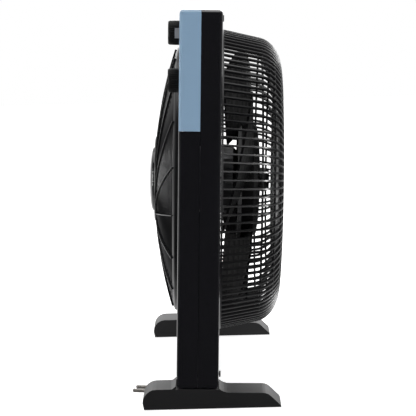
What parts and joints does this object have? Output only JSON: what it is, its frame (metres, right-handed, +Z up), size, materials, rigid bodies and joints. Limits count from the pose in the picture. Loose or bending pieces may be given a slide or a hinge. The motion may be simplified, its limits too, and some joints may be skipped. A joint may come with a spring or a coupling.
{
  "type": "box fan",
  "caption": "Square desk and floor fan with a turning round louver in front, a caged five-blade rotor behind, two dials on a blue panel, and two feet.",
  "frame": {"origin": "on the floor, midway between the two feet and midway between the toes' front and the grille's back", "axes": "+X to the side with the dials, +Y to the rear grille, +Z up"},
  "size_m": [0.4, 0.1753, 0.4225],
  "materials": {
    "black_plastic": "glossy black moulded plastic",
    "blue_plastic": "satin grey-blue moulded plastic",
    "dial_black": "matt black moulded plastic",
    "grey_insert": "light grey plastic insert",
    "inner_plastic": "dull dark grey plastic",
    "zinc_plate": "zinc-plated steel",
    "steel": "bare and varnished steel",
    "copper": "varnished copper wire",
    "rubber": "soft black rubber",
    "cord_jacket": "flexible black cord jacket",
    "brass": "bright brass pins"
  },
  "bodies": {
    "base": {"front_shell": "black_plastic", "rear_shell": "black_plastic", "rear_grille": "black_plastic", "foot_right": "black_plastic", "foot_left": "black_plastic", "control_panel": "blue_plastic", "timer_switch": "inner_plastic", "speed_switch": "inner_plastic", "capacitor": "inner_plastic", "shell_screw_low_right": "zinc_plate", "shell_screw_low_left": "zinc_plate", "shell_screw_top_left": "zinc_plate", "shell_screw_top_right": "zinc_plate", "foot_screw_right_front": "zinc_plate", "foot_screw_right_rear": "zinc_plate", "foot_screw_left_front": "zinc_plate", "foot_screw_left_rear": "zinc_plate", "bracket_screw_a": "zinc_plate", "bracket_screw_b": "zinc_plate", "bracket_screw_c": "zinc_plate", "bracket_screw_d": "zinc_plate", "motor_bracket": "zinc_plate", "motor_front_bell": "steel", "motor_rear_bell": "steel", "stator_core": "steel", "front_bearing": "steel", "rear_bearing": "steel", "louver_motor": "steel", "front_winding": "copper", "rear_winding": "copper", "foot_right_pad_front": "rubber", "foot_right_pad_rear": "rubber", "foot_left_pad_front": "rubber", "foot_left_pad_rear": "rubber", "cord_gland": "rubber", "cord_tie": "rubber", "plug_body": "rubber", "power_cord": "cord_jacket", "plug_lead": "cord_jacket", "cord_hank": "cord_jacket", "plug_pin_1": "brass", "plug_pin_2": "brass"},
    "fan_rotor": {"fan_blade": "black_plastic", "blade_nut": "inner_plastic", "motor_shaft": "steel", "rotor_core": "steel"},
    "louver": {"louver_grille": "black_plastic", "louver_rim": "black_plastic", "louver_disc": "black_plastic", "louver_cap": "black_plastic", "louver_shaft": "steel"},
    "speed_dial": {"speed_knob": "dial_black", "speed_pointer": "grey_insert", "speed_shaft": "steel"},
    "timer_dial": {"timer_knob": "dial_black", "timer_pointer": "grey_insert", "timer_shaft": "steel"}
  },
  "joints": [
    {"name": "fan_spin", "type": "hinge", "parent": "base", "child": "fan_rotor", "pos_m": [0, -0.01449, 0.22197], "axis": [0, 0.9993, -0.0361], "continuous": true},
    {"name": "louver_spin", "type": "hinge", "parent": "base", "child": "louver", "pos_m": [0, -0.01449, 0.22197], "axis": [0, 0.9993, -0.0361], "continuous": true},
    {"name": "speed_turn", "type": "hinge", "parent": "base", "child": "speed_dial", "pos_m": [0.165, -0.00998, 0.34689], "axis": [0, 0.9993, -0.0361], "range_deg": [0, 135]},
    {"name": "timer_turn", "type": "hinge", "parent": "base", "child": "timer_dial", "pos_m": [0.165, -0.00817, 0.39686], "axis": [0, 0.9993, -0.0361], "range_deg": [0, 300]}
  ]
}
